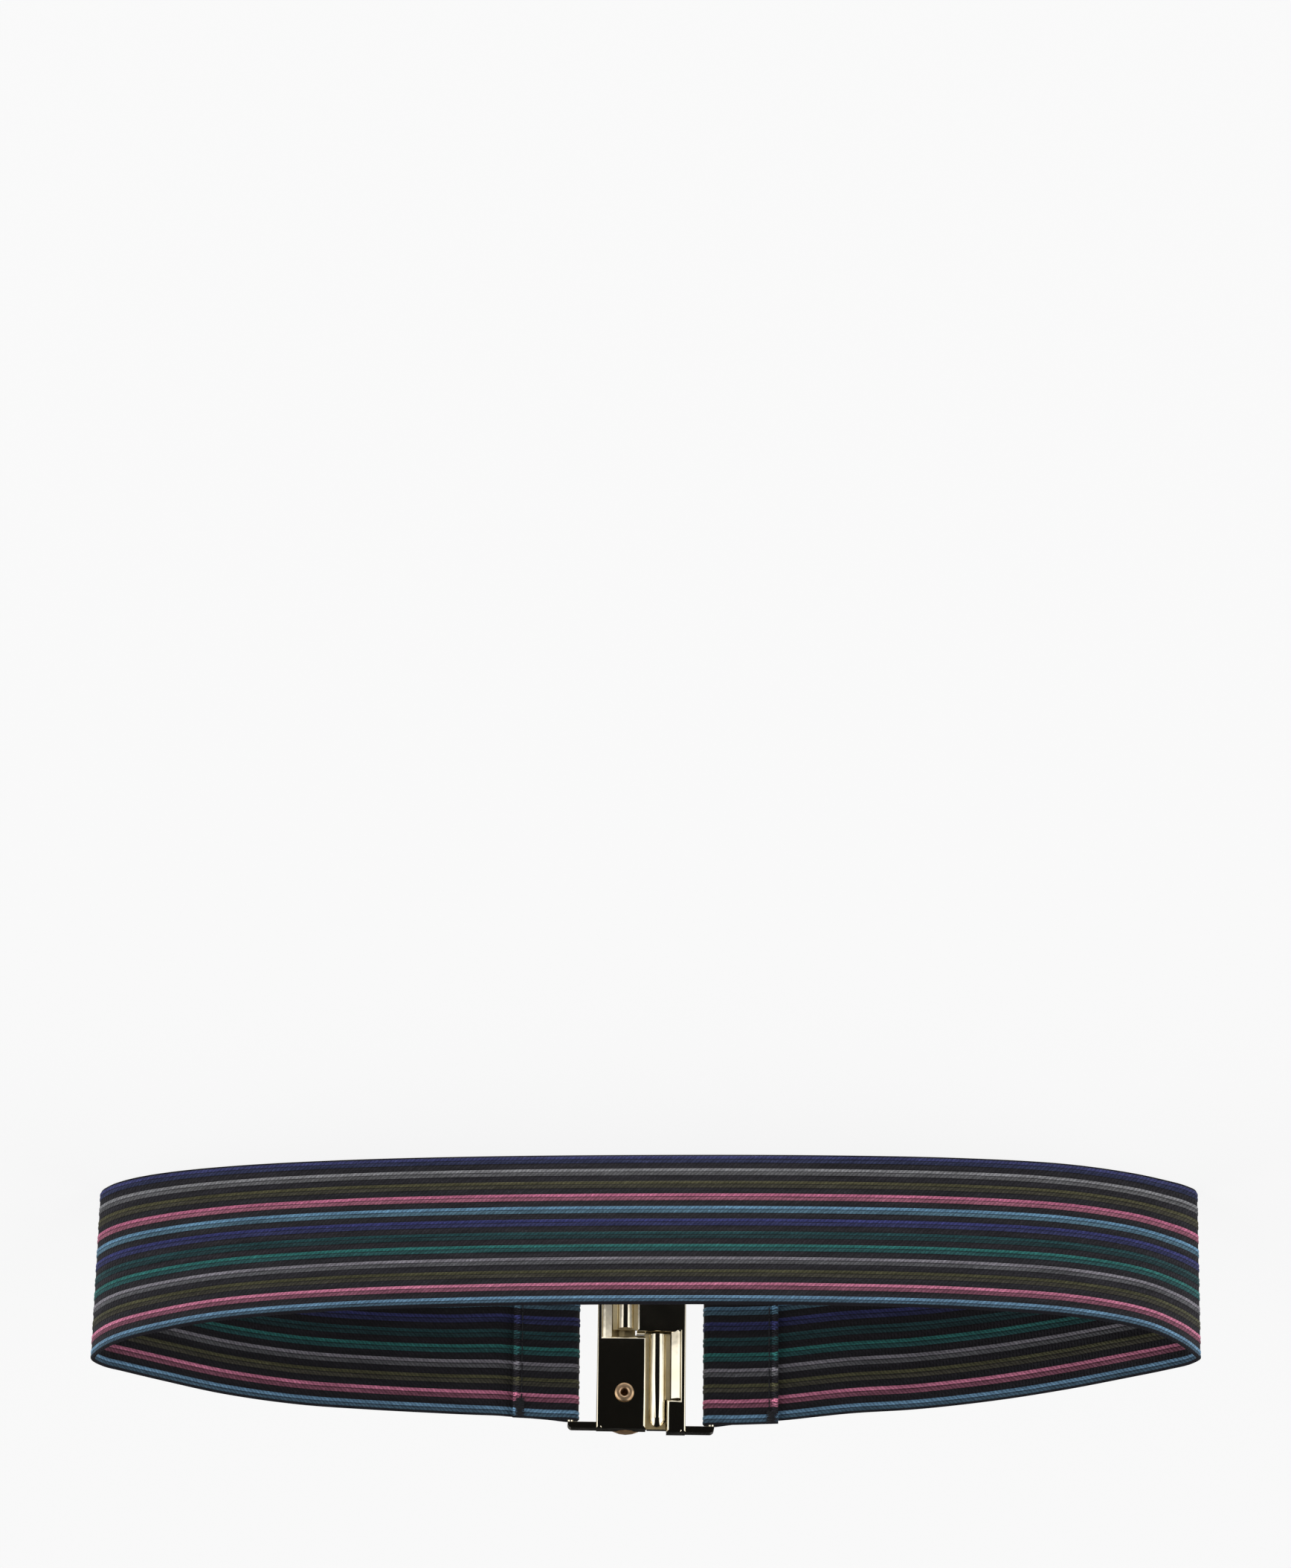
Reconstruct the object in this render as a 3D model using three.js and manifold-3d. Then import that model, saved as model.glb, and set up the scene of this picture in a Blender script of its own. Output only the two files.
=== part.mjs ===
// An elastic belt of striped webbing, closed by a clasp of two interlocking castings.
// Millimetres, +Z up. The belt stands on one edge of its webbing, with the clasp at -Y and the back at +Y.
import * as THREE from "three";
import { mergeVertices } from "three/addons/utils/BufferGeometryUtils.js";
import Module from "manifold-3d";

const wasm = await Module();
wasm.setup();

const degrees = Math.PI / 180;

// The webbing, and the clearance that every two neighbours keep.
const webbing = { width: 50, thickness: 1.3 };
const gap = 0.3;

// How the buckled clasp stands in the loop: its middle, how far it leans out at its upper edge, and its turn
// about the vertical.
const stance = { across: -1.25, depth: -28.7, lean: 13.5, turn: -2 };
// Each half hangs this far from the middle along the webbing's width, where the two stop against each other.
const halfSlide = 0.4;

// One casting, drawn as the left half seen from inside the belt: x to the right, y up the webbing's width and
// z outwards.
const casting = {
  outerEnd: 19.7,
  halfHeight: 27.1,
  cornerRadius: 1.2,
  front: 2.8,
  inner: -2.4,
};
const bar = { radius: 0.75, sides: 12 };
const slot = { plateEdge: 11.95, end: 25.4, armFront: 2, armInner: -1.6 };
const strip = { edge: 10.6, rounding: 0.45 };
const block = { edge: 1.3, rounding: 0.85 };
const pocket = { floor: 1.6, edge: 1.65, end: 26 };
const endBlock = { edge: 6.9, start: 18.4, rounding: 0.85 };
const gable = { from: 8.1, to: 10.6, crest: 9.75, top: -2.35, innerFoot: -1.4, outerFoot: -1.9, clear: 0.5 };
const ridge = { from: 4.6, to: 6, top: 0.5 };
const arm = { edge: 7.8, inner: -0.8, outer: 0.2, tipEdge: 6.6, tipStart: 18.9 };
const lip = { from: 6.4, bottom: 1.3 };
const rod = { across: 4.35, radius: 2.4, centre: -0.05, inset: 0.3, straightEnd: 24.3 };
// Where the block and the arm of each half start, from its middle.
const starts = { left: { block: 2, arm: 0.85 }, right: { block: 0.25, arm: 0.95 } };
const arcSteps = 10;
const roundingSteps = 4;
// Joined solids run this far into each other, and a cut runs this far past the faces.
const overlap = 0.5;
const past = 1;

// The plain disc on the left half. Its hollow post goes through the casting and is flared inside.
const boss = { across: -4, up: 20.1, radius: 7.6, edge: 1.1, dome: 0.8 };
const domeSteps = [
  { reach: 1, rise: 0 },
  { reach: 0.8, rise: 0.6 },
  { reach: 0.45, rise: 0.9 },
];
const post = { across: -4.55, up: 17.45, radius: 1.75, hole: 2.05, bore: 0.9, boreEnd: 1.8 };
const flare = { radius: 2.6, height: 0.8, steps: 7 };
const roundSteps = 28;

// How the two layers of webbing beside each fold close up towards each other, and how far from the middle of
// the clasp the inner layer ends and the outer one runs straight.
const layers = {
  apartAtBar: bar.radius + gap + webbing.thickness / 2,
  apartAtEnd: (webbing.thickness + gap) / 2,
  closingLength: 7,
  steps: 6,
};
const straight = [30, 34, 38];
const foldSteps = 8;
// How the webbing leaves each bar: where its inner layer is cut, how far both layers are turned about the bar
// towards the inside of the loop in degrees, and how far each slips down for every millimetre from the bar.
const leaving = {
  left: { tabEnd: 34.6, swing: 0, slip: 0.07, tabSlip: 0.038 },
  right: { tabEnd: 37, swing: 5, slip: 0.09, tabSlip: 0.025 },
};

// The loop at half the webbing's width: where each section is, how far it leans out at its upper edge in
// degrees, and how far its lower edge is lifted off the surface.
const sections = [
  { across: -54, depth: -28, lean: 6.5, lift: 0.8 },
  { across: -73, depth: -27.6, lean: 4, lift: 0.2 },
  { across: -93, depth: -24.7, lean: 4, lift: 0 },
  { across: -112, depth: -18.2, lean: 4.8, lift: 0 },
  { across: -128, depth: -9.9, lean: 5, lift: 0 },
  { across: -138, depth: -5, lean: 3, lift: 0 },
  { across: -143.3, depth: -2.7, lean: 1, lift: 0 },
  { across: -146, depth: 0.4, lean: 0, lift: 0 },
  { across: -144, depth: 4.4, lean: 1, lift: 0 },
  { across: -138.8, depth: 9, lean: 3, lift: 0 },
  { across: -129, depth: 13.7, lean: 5.3, lift: 0 },
  { across: -111, depth: 18.9, lean: 8.6, lift: 0 },
  { across: -82, depth: 23, lean: 10.5, lift: 0 },
  { across: -45, depth: 25.4, lean: 11.2, lift: 0 },
  { across: 0, depth: 26.4, lean: 11.4, lift: 0 },
  { across: 45, depth: 26.1, lean: 11.1, lift: 0 },
  { across: 84, depth: 24.2, lean: 10.4, lift: 0 },
  { across: 112, depth: 20.4, lean: 9.2, lift: 0 },
  { across: 130, depth: 14.4, lean: 7, lift: 0 },
  { across: 139.5, depth: 8.4, lean: 3, lift: 0 },
  { across: 144.4, depth: 4, lean: -0.5, lift: 0 },
  { across: 146.6, depth: 0.6, lean: -2, lift: 0 },
  { across: 144, depth: -2.2, lean: -1, lift: 0 },
  { across: 138, depth: -4.2, lean: 2, lift: 0 },
  { across: 127, depth: -7.8, lean: 7, lift: 0 },
  { across: 110, depth: -14.7, lean: 11, lift: 0 },
  { across: 92, depth: -20.7, lean: 12.6, lift: 0.2 },
  { across: 72, depth: -24.8, lean: 13.2, lift: 0.7 },
  { across: 54, depth: -26.6, lean: 13.5, lift: 1.1 },
];
const stepsPerSection = 4;

const goldPlate = new THREE.MeshStandardMaterial({ color: "#d8c8a4", metalness: 1, roughness: 0.12 });
const agedBrass = new THREE.MeshStandardMaterial({ color: "#a9845c", metalness: 1, roughness: 0.3 });
const elasticWeave = new THREE.MeshStandardMaterial({ color: "#2b2a30", metalness: 0, roughness: 0.9 });

function toSolid(geometry) {
  const bare = geometry.index ? geometry.toNonIndexed() : geometry.clone();
  bare.deleteAttribute("normal");
  bare.deleteAttribute("uv");
  const merged = mergeVertices(bare, 1e-5);
  return new wasm.Manifold(
    new wasm.Mesh({
      numProp: 3,
      vertProperties: new Float32Array(merged.attributes.position.array),
      triVerts: new Uint32Array(merged.index.array),
    }),
  );
}

function toGeometry(solid) {
  const mesh = solid.getMesh();
  const geometry = new THREE.BufferGeometry();
  geometry.setAttribute("position", new THREE.BufferAttribute(new Float32Array(mesh.vertProperties), 3));
  geometry.setIndex(new THREE.BufferAttribute(new Uint32Array(mesh.triVerts), 1));
  geometry.computeVertexNormals();
  return geometry;
}

function cuboid(x0, x1, y0, y1, z0, z1) {
  const geometry = new THREE.BoxGeometry(x1 - x0, y1 - y0, z1 - z0);
  geometry.translate((x0 + x1) / 2, (y0 + y1) / 2, (z0 + z1) / 2);
  return toSolid(geometry);
}

// A cross-section drawn in x and z, drawn out along y.
function alongWidth(points, y0, y1) {
  const shape = new THREE.Shape(points.map(([x, z]) => new THREE.Vector2(x, z)));
  const geometry = new THREE.ExtrudeGeometry(shape, { depth: y1 - y0, bevelEnabled: false });
  geometry.rotateX(90 * degrees);
  geometry.translate(0, y1, 0);
  return toSolid(geometry);
}

function roundedPlate(x0, x1, y0, y1, radius, z0, z1) {
  const shape = new THREE.Shape();
  shape.moveTo(x0 + radius, y0);
  shape.lineTo(x1, y0);
  shape.lineTo(x1, y1);
  shape.lineTo(x0 + radius, y1);
  shape.absarc(x0 + radius, y1 - radius, radius, 90 * degrees, 180 * degrees, false);
  shape.lineTo(x0, y0 + radius);
  shape.absarc(x0 + radius, y0 + radius, radius, 180 * degrees, 270 * degrees, false);
  const depth = z1 - z0;
  const geometry = new THREE.ExtrudeGeometry(shape, { depth, bevelEnabled: false, curveSegments: 5 });
  geometry.translate(0, 0, z0);
  return toSolid(geometry);
}

// A block of the casting's full depth whose edges are rounded on its inner face.
function polishedBlock(x0, x1, y0, y1, rounding) {
  const { front, inner } = casting;
  const shape = new THREE.Shape();
  shape.moveTo(x0 + rounding, y0 + rounding);
  shape.lineTo(x1 - rounding, y0 + rounding);
  shape.lineTo(x1 - rounding, y1 - rounding);
  shape.lineTo(x0 + rounding, y1 - rounding);
  const geometry = new THREE.ExtrudeGeometry(shape, {
    depth: front - inner,
    bevelThickness: rounding,
    bevelSize: rounding,
    bevelSegments: roundingSteps,
  });
  geometry.translate(0, 0, inner + rounding);
  return toSolid(geometry).intersect(cuboid(x0 - past, x1 + past, y0 - past, y1 + past, inner - past, front));
}

// A turned piece on an axis at the given place, from radius and height pairs that start on the axis.
function turned(profile, { across, up }) {
  const points = profile.map(([radius, height]) => new THREE.Vector2(radius, height));
  const geometry = new THREE.LatheGeometry(points, roundSteps);
  geometry.rotateX(90 * degrees);
  geometry.translate(across, up, 0);
  return toSolid(geometry);
}

function slotFrame() {
  const { outerEnd, halfHeight, cornerRadius } = casting;
  const outline = roundedPlate(
    -outerEnd, -slot.plateEdge, -halfHeight, halfHeight, cornerRadius, slot.armInner, slot.armFront,
  );
  const opening = cuboid(
    -outerEnd - past, -slot.plateEdge, -slot.end, slot.end, slot.armInner - past, slot.armFront + past,
  );
  const round = new THREE.CylinderGeometry(bar.radius, bar.radius, 2 * (slot.end + overlap), bar.sides);
  round.translate(-outerEnd + bar.radius, 0, 0);
  return outline.subtract(opening).add(toSolid(round));
}

function plates(start) {
  const { halfHeight, front } = casting;
  const outer = -slot.plateEdge;
  const stripSolid = polishedBlock(outer, -strip.edge, -halfHeight, halfHeight, strip.rounding);
  const mainBlock = polishedBlock(outer, block.edge, start.block, halfHeight, block.rounding);
  const corner = polishedBlock(outer, -endBlock.edge, -halfHeight, -endBlock.start, endBlock.rounding);
  const floor = cuboid(outer, -pocket.edge, -pocket.end, start.block + overlap, pocket.floor, front);
  return stripSolid.add(mainBlock).add(corner).add(floor);
}

// Where the block starts further on than its arm, the pocket's floor goes on under the gap between the two.
function seamFloor(start) {
  const from = -pocket.edge - overlap;
  return cuboid(from, block.edge, start.arm, start.block + overlap, pocket.floor, casting.front);
}

// The wall beside the pocket, with a top like a gable. It ends just short of the end block.
function gabledWall(start) {
  const foot = pocket.floor + overlap;
  const points = [
    [-gable.from, foot],
    [-gable.from, gable.innerFoot],
    [-gable.crest, gable.top],
    [-gable.to, gable.outerFoot],
    [-gable.to, foot],
  ];
  return alongWidth(points, -endBlock.start + gable.clear, start + overlap);
}

// The ridge in the pocket, behind which the other half's lip catches.
function catchRidge(start) {
  return cuboid(-ridge.to, -ridge.from, -pocket.end, start + overlap, ridge.top, pocket.floor + overlap);
}

// The arm that lies in the other half's pocket, with its lip and the half-round rod on it. Its tip is
// narrower, beside the other half's end block.
function hookedArm(start) {
  const { halfHeight, inner } = casting;
  const root = block.edge - overlap;
  const rodStart = start + rod.inset;
  const plate = cuboid(root, arm.edge, start, halfHeight, arm.inner, arm.outer);
  const lipSolid = cuboid(lip.from, arm.edge, start, arm.tipStart, arm.outer - overlap, lip.bottom);
  const besideTip = cuboid(arm.tipEdge, arm.edge + past, arm.tipStart, halfHeight + past, inner - past, past);
  const ball = new THREE.SphereGeometry(rod.radius, 2 * arcSteps, 2 * arcSteps);
  ball.rotateX(90 * degrees);
  ball.translate(rod.across, rod.straightEnd, rod.centre);
  const round = new THREE.CylinderGeometry(rod.radius, rod.radius, rod.straightEnd - rodStart, 2 * arcSteps);
  round.rotateY((180 / (2 * arcSteps)) * degrees);
  round.translate(rod.across, (rodStart + rod.straightEnd) / 2, rod.centre);
  const keep = cuboid(root, arm.edge, rodStart, halfHeight, inner - past, arm.inner + overlap);
  const rounded = toSolid(round).add(toSolid(ball)).intersect(keep);
  return plate.add(lipSolid).add(rounded).subtract(besideTip);
}

function castHalf(start, hasPost) {
  const half = slotFrame().add(plates(start)).add(gabledWall(start.block)).add(catchRidge(start.block));
  const joined = start.block > start.arm ? half.add(seamFloor(start)) : half;
  const whole = joined.add(hookedArm(start.arm));
  if (!hasPost) return toGeometry(whole);
  const depth = 2 * (casting.front + past);
  const hole = new THREE.CylinderGeometry(post.hole, post.hole, depth, roundSteps);
  hole.rotateX(90 * degrees);
  hole.translate(post.across, post.up, 0);
  return toGeometry(whole.subtract(toSolid(hole)));
}

// The disc with its hollow post, in the left half's own place.
function frontBoss() {
  const back = casting.front + gap;
  const rim = back + boss.edge;
  const discProfile = [
    [0, back],
    [boss.radius, back],
    ...domeSteps.map(({ reach, rise }) => [boss.radius * reach, rim + boss.dome * rise]),
    [0, rim + boss.dome],
  ];
  const inside = casting.inner - gap;
  const rolled = [];
  for (let i = 0; i <= flare.steps; i++) {
    const angle = (180 * i * degrees) / flare.steps;
    const reach = (post.bore + flare.radius - (flare.radius - post.bore) * Math.cos(angle)) / 2;
    rolled.push([reach, inside - flare.height * Math.sin(angle)]);
  }
  const tubeProfile = [
    [0, post.boreEnd],
    [post.bore, post.boreEnd],
    ...rolled,
    [post.radius, inside],
    [post.radius, back + overlap],
    [0, back + overlap],
  ];
  return toGeometry(turned(discProfile, boss).add(turned(tubeProfile, post)));
}

// The clasp's own frame, as a group that holds both halves.
const lean = stance.lean * degrees;
const claspHeight = (casting.halfHeight + halfSlide) * Math.cos(lean) + casting.front * Math.sin(lean);
const clasp = new THREE.Group();
clasp.position.set(stance.across, stance.depth, claspHeight);
clasp.rotation.set(Math.PI / 2 + lean, 0, stance.turn * degrees, "ZYX");
clasp.updateMatrixWorld(true);

function named(name, geometry, material) {
  const mesh = new THREE.Mesh(geometry, material);
  mesh.name = name;
  return mesh;
}

const leftHalf = new THREE.Group();
leftHalf.position.y = -halfSlide;
leftHalf.add(named("clasp_half_left", castHalf(starts.left, true), goldPlate));
leftHalf.add(named("front_boss", frontBoss(), agedBrass));
const rightHalf = new THREE.Group();
rightHalf.position.y = halfSlide;
rightHalf.rotation.z = Math.PI;
rightHalf.add(named("clasp_half_right", castHalf(starts.right, false), goldPlate));
clasp.add(leftHalf, rightHalf);

const up = new THREE.Vector3(0, 0, 1);

// The webbing beside one fold, where side is -1 for the left and 1 for the right: from the cut end of the
// inner layer, round the bar and along the outer layer.
function foldPath(side, { tabEnd, swing, slip, tabSlip }) {
  const barAt = casting.outerEnd - bar.radius;
  const { apartAtBar, apartAtEnd, closingLength, steps } = layers;
  const layer = (z) => {
    const row = [];
    for (let i = 0; i <= steps; i++) {
      const share = i / steps;
      const eased = (1 - Math.cos(Math.PI * share)) / 2;
      const x = barAt + closingLength * share;
      row.push(new THREE.Vector3(side * x, 0, z * THREE.MathUtils.lerp(apartAtBar, apartAtEnd, eased)));
    }
    return row;
  };
  const points = [new THREE.Vector3(side * tabEnd, 0, -apartAtEnd), ...layer(-1).reverse()];
  for (let i = 1; i < foldSteps; i++) {
    const angle = (-90 + (180 * i) / foldSteps) * degrees;
    const x = barAt - apartAtBar * Math.cos(angle);
    points.push(new THREE.Vector3(side * x, 0, apartAtBar * Math.sin(angle)));
  }
  points.push(...layer(1));
  for (const x of straight) points.push(new THREE.Vector3(side * x, 0, apartAtEnd));
  const along = Math.cos(swing * degrees);
  const inward = Math.sin(swing * degrees);
  for (const point of points) {
    const { z } = point;
    const out = side * point.x - barAt;
    const slipped = Math.max(0, out) * (z < 0 ? tabSlip : slip);
    const across = side * (barAt + out * along + z * inward);
    clasp.localToWorld(point.set(across, side * halfSlide - slipped, z * along - out * inward));
  }
  return points.map((place) => ({ place, lean: stance.lean }));
}

// A smooth shape through the sections, between the ends of the two straight stretches. The lean is eased with
// it, and the webbing rests on the surface between two sections that aren't lifted.
function loopPath(from, to) {
  const rows = sections.map(({ across, depth, lean, lift }) => {
    const height = (webbing.width / 2) * Math.cos(lean * degrees) + lift;
    return { place: new THREE.Vector3(across, depth, height), lean, lift };
  });
  const knots = [...from, ...rows, ...to];
  const places = new THREE.CatmullRomCurve3(knots.map(({ place }) => place), false, "centripetal");
  const withLean = knots.map(({ place, lean }) => new THREE.Vector3(place.x, place.y, lean));
  const leans = new THREE.CatmullRomCurve3(withLean, false, "centripetal");
  const stations = [];
  const first = from.length - 1;
  const last = knots.length - to.length;
  for (let i = first * stepsPerSection; i <= last * stepsPerSection; i++) {
    const row = i / stepsPerSection;
    const share = row / (knots.length - 1);
    const rests = knots[Math.floor(row)].lift === 0 && knots[Math.ceil(row)].lift === 0;
    stations.push({ place: places.getPoint(share), lean: leans.getPoint(share).z, rests });
  }
  return stations;
}

// The strip's stations: the place at half width, the direction across the width and the way the outer face
// looks.
function webbingStations() {
  const left = foldPath(-1, leaving.left);
  const right = foldPath(1, leaving.right).reverse();
  const loop = loopPath(left.slice(-straight.length), right.slice(0, straight.length));
  const all = [...left.slice(0, -1), ...loop, ...right.slice(1)];
  const claspWidth = new THREE.Vector3(0, 1, 0).transformDirection(clasp.matrixWorld);
  const inLoop = (i) => i >= left.length - 1 && i < left.length - 1 + loop.length;
  return all.map((station, i) => {
    const before = all[Math.max(i - 1, 0)].place;
    const after = all[Math.min(i + 1, all.length - 1)].place;
    const along = after.clone().sub(before).normalize();
    const width = claspWidth.clone();
    if (inLoop(i)) {
      const outward = up.clone().cross(along).setZ(0).normalize();
      width.copy(up).multiplyScalar(Math.cos(station.lean * degrees));
      width.addScaledVector(outward, Math.sin(station.lean * degrees));
    }
    const face = width.clone().cross(along).normalize();
    return { ...station, width, face };
  });
}

// How far a corner of the strip is from half width. Where the webbing rests on the surface, or would reach
// below it, its lower edge is cut level.
function reachOf(corner, edge, { width, rests }) {
  const half = webbing.width / 2;
  if (edge > 0) return half;
  const toSurface = corner.z / width.z;
  return rests ? toSurface : Math.min(half, toSurface);
}

// Four corners of each station's cut, outer face first, joined to the next station's.
function webbingGeometry() {
  const stations = webbingStations();
  const positions = [];
  for (const station of stations) {
    for (const [faceSide, edge] of [[1, -1], [1, 1], [-1, 1], [-1, -1]]) {
      const corner = station.place.clone().addScaledVector(station.face, (faceSide * webbing.thickness) / 2);
      corner.addScaledVector(station.width, edge * reachOf(corner, edge, station));
      positions.push(corner.x, corner.y, Math.max(corner.z, 0));
    }
  }
  const index = [];
  for (let i = 0; i < stations.length - 1; i++) {
    for (let k = 0; k < 4; k++) {
      const a = 4 * i + k;
      const b = 4 * i + ((k + 1) % 4);
      index.push(a, b, b + 4, a, b + 4, a + 4);
    }
  }
  const end = 4 * (stations.length - 1);
  index.push(0, 3, 2, 0, 2, 1, end, end + 1, end + 2, end, end + 2, end + 3);
  const geometry = new THREE.BufferGeometry();
  geometry.setAttribute("position", new THREE.Float32BufferAttribute(positions, 3));
  geometry.setIndex(index);
  geometry.computeVertexNormals();
  return geometry;
}

const belt = new THREE.Group();
belt.add(named("elastic_band", webbingGeometry(), elasticWeave), clasp);

// The origin is in the middle of the belt's footprint.
belt.updateMatrixWorld(true);
const extent = new THREE.Box3().setFromObject(belt, true);
belt.position.set(-(extent.min.x + extent.max.x) / 2, -(extent.min.y + extent.max.y) / 2, 0);

export default belt;
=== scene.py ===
# Elastic belt of striped webbing with an interlocking clasp, dressed over its solids
import math

import bmesh
import bpy
from mathutils import Euler, Matrix, Vector


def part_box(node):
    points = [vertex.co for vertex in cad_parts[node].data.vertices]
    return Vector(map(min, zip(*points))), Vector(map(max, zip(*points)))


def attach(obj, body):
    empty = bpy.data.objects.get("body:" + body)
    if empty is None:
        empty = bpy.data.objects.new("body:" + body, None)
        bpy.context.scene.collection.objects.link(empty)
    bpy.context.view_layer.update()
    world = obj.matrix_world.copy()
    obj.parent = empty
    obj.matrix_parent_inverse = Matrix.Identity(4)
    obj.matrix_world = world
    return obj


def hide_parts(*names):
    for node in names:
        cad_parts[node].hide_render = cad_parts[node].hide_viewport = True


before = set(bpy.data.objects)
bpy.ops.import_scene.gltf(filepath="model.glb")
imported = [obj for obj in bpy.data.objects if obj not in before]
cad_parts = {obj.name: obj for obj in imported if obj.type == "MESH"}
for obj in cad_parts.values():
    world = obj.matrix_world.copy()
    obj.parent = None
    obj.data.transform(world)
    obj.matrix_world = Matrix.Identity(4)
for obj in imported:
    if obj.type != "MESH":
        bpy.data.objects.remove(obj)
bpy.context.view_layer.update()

mm = 0.001
sideOn = Vector((0, 0, 1))

# The belt stands on its navy edge with the clasp away from the camera. All sizes here are millimetres.
belt = {
    "width": 50,
    "thickness": 1.3,
    "gap": 0.3,
    "claspAcross": -1.25,
    "claspDepth": -28.7,
    "claspLean": 13.5,        # degrees, outwards at the top
    "claspTurn": -2,          # degrees about the upright
    "halfSlide": 0.4,         # how far each half stands off the middle along the width
    "castingEnd": 19.7,       # from the clasp's middle to the outer side of a bar
    "castingHalfHeight": 27.1,
    "castingFront": 2.8,
    "barRadius": 0.75,
}


def linear(hexColour):
    # sRGB hex to the linear colour that the shaders take
    parts = [int(hexColour[i:i + 2], 16) / 255 for i in (1, 3, 5)]
    return tuple(c / 12.92 if c <= 0.04045 else ((c + 0.055) / 1.055) ** 2.4 for c in parts) + (1.0,)


def addNode(tree, kind, inputs=None, **settings):
    # a node with its settings, and its inputs as numbers, colours or other nodes' outputs
    node = tree.nodes.new(kind)
    for name, value in settings.items():
        setattr(node, name, value)
    for name, value in (inputs or {}).items():
        if isinstance(value, bpy.types.NodeSocket):
            tree.links.new(value, node.inputs[name])
        else:
            node.inputs[name].default_value = value
    return node


def newMaterial(name):
    material = bpy.data.materials.new(name)
    material.use_nodes = True
    material.node_tree.nodes.clear()
    return material, material.node_tree


def setStops(ramp, stops, interpolation):
    # colour ramp stops from (place, colour) pairs in order
    ramp.color_ramp.interpolation = interpolation
    elements = ramp.color_ramp.elements
    while len(elements) > 1:
        elements.remove(elements[-1])
    elements[0].position, elements[0].color = stops[0]
    for place, colour in stops[1:]:
        elements.new(place).color = colour


def newPiece(name, mesh, material):
    data = bpy.data.meshes.new(name)
    mesh.to_mesh(data)
    mesh.free()
    data.materials.append(material)
    piece = bpy.data.objects.new(name, data)
    bpy.context.scene.collection.objects.link(piece)
    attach(piece, "root")
    return piece


# Webbing: the loop's sections at half width, how far each leans out at its upper edge in degrees, and how
# far its lower edge is lifted
loopSections = [
    {"across": -54, "depth": -28, "lean": 6.5, "lift": 0.8},
    {"across": -73, "depth": -27.6, "lean": 4, "lift": 0.2},
    {"across": -93, "depth": -24.7, "lean": 4, "lift": 0},
    {"across": -112, "depth": -18.2, "lean": 4.8, "lift": 0},
    {"across": -128, "depth": -9.9, "lean": 5, "lift": 0},
    {"across": -138, "depth": -5, "lean": 3, "lift": 0},
    {"across": -143.3, "depth": -2.7, "lean": 1, "lift": 0},
    {"across": -146, "depth": 0.4, "lean": 0, "lift": 0},
    {"across": -144, "depth": 4.4, "lean": 1, "lift": 0},
    {"across": -138.8, "depth": 9, "lean": 3, "lift": 0},
    {"across": -129, "depth": 13.7, "lean": 5.3, "lift": 0},
    {"across": -111, "depth": 18.9, "lean": 8.6, "lift": 0},
    {"across": -82, "depth": 23, "lean": 10.5, "lift": 0},
    {"across": -45, "depth": 25.4, "lean": 11.2, "lift": 0},
    {"across": 0, "depth": 26.4, "lean": 11.4, "lift": 0},
    {"across": 45, "depth": 26.1, "lean": 11.1, "lift": 0},
    {"across": 84, "depth": 24.2, "lean": 10.4, "lift": 0},
    {"across": 112, "depth": 20.4, "lean": 9.2, "lift": 0},
    {"across": 130, "depth": 14.4, "lean": 7, "lift": 0},
    {"across": 139.5, "depth": 8.4, "lean": 3, "lift": 0},
    {"across": 144.4, "depth": 4, "lean": -0.5, "lift": 0},
    {"across": 146.6, "depth": 0.6, "lean": -2, "lift": 0},
    {"across": 144, "depth": -2.2, "lean": -1, "lift": 0},
    {"across": 138, "depth": -4.2, "lean": 2, "lift": 0},
    {"across": 127, "depth": -7.8, "lean": 7, "lift": 0},
    {"across": 110, "depth": -14.7, "lean": 11, "lift": 0},
    {"across": 92, "depth": -20.7, "lean": 12.6, "lift": 0.2},
    {"across": 72, "depth": -24.8, "lean": 13.2, "lift": 0.7},
    {"across": 54, "depth": -26.6, "lean": 13.5, "lift": 1.1},
]

# The strip's way round a bar: how far each layer's middle is from the plane between them, the length over
# which the layers close, and the places of the outer layer's straight start
webbingPath = {
    "stepsPerSection": 9,   # round the loop
    "apartAtEnd": (belt["thickness"] + belt["gap"]) / 2,
    "apartAtBar": belt["barRadius"] + belt["gap"] + belt["thickness"] / 2,
    "closingLength": 7,
    "closingSteps": 8,
    "foldSteps": 14,
    "tabSteps": 8,
    "straight": (30, 34, 38),
}

# How the webbing leaves each bar: where its inner layer is cut, how far both layers are turned about the bar
# towards the inside of the loop in degrees, and how far each slips down for every millimetre from the bar
leaving = {
    "left": {"tabEnd": 34.6, "swing": 0, "slip": 0.07, "tabSlip": 0.038},
    "right": {"tabEnd": 37, "swing": 5, "slip": 0.09, "tabSlip": 0.025},
}

# Twelve stripes, each of a bright yarn on its lower side and a duller one above it, sizes across the width
stripes = {
    "first": 1.2,         # middle of the first bright yarn, from the lower edge
    "pitch": 4.25,
    "groundBefore": 0.9,  # from where a stripe's repeat starts to its bright yarn's middle
    "brightHalf": 0.52,
    "dullAt": 1.28,       # middle of the dull yarn, from the bright one's
    "dullHalf": 0.6,
    "yarnRise": 0.17,
    "groundHalf": 0.49,   # from the middle of the webbing's thickness to the ground of the weave
    "edgeRound": 0.6,
    "edgeHalf": 0.12,     # half the thickness left at both edges
    "selvage": 0.4,
    "yarnColumns": (-1, -0.55, 0, 0.55, 1),   # the mesh's columns on a yarn, as shares of its half width
    "lowerColumns": (0, 0.08),                # and those beside each edge
    "upperColumns": (0, 0.08, 0.3),
}


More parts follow.
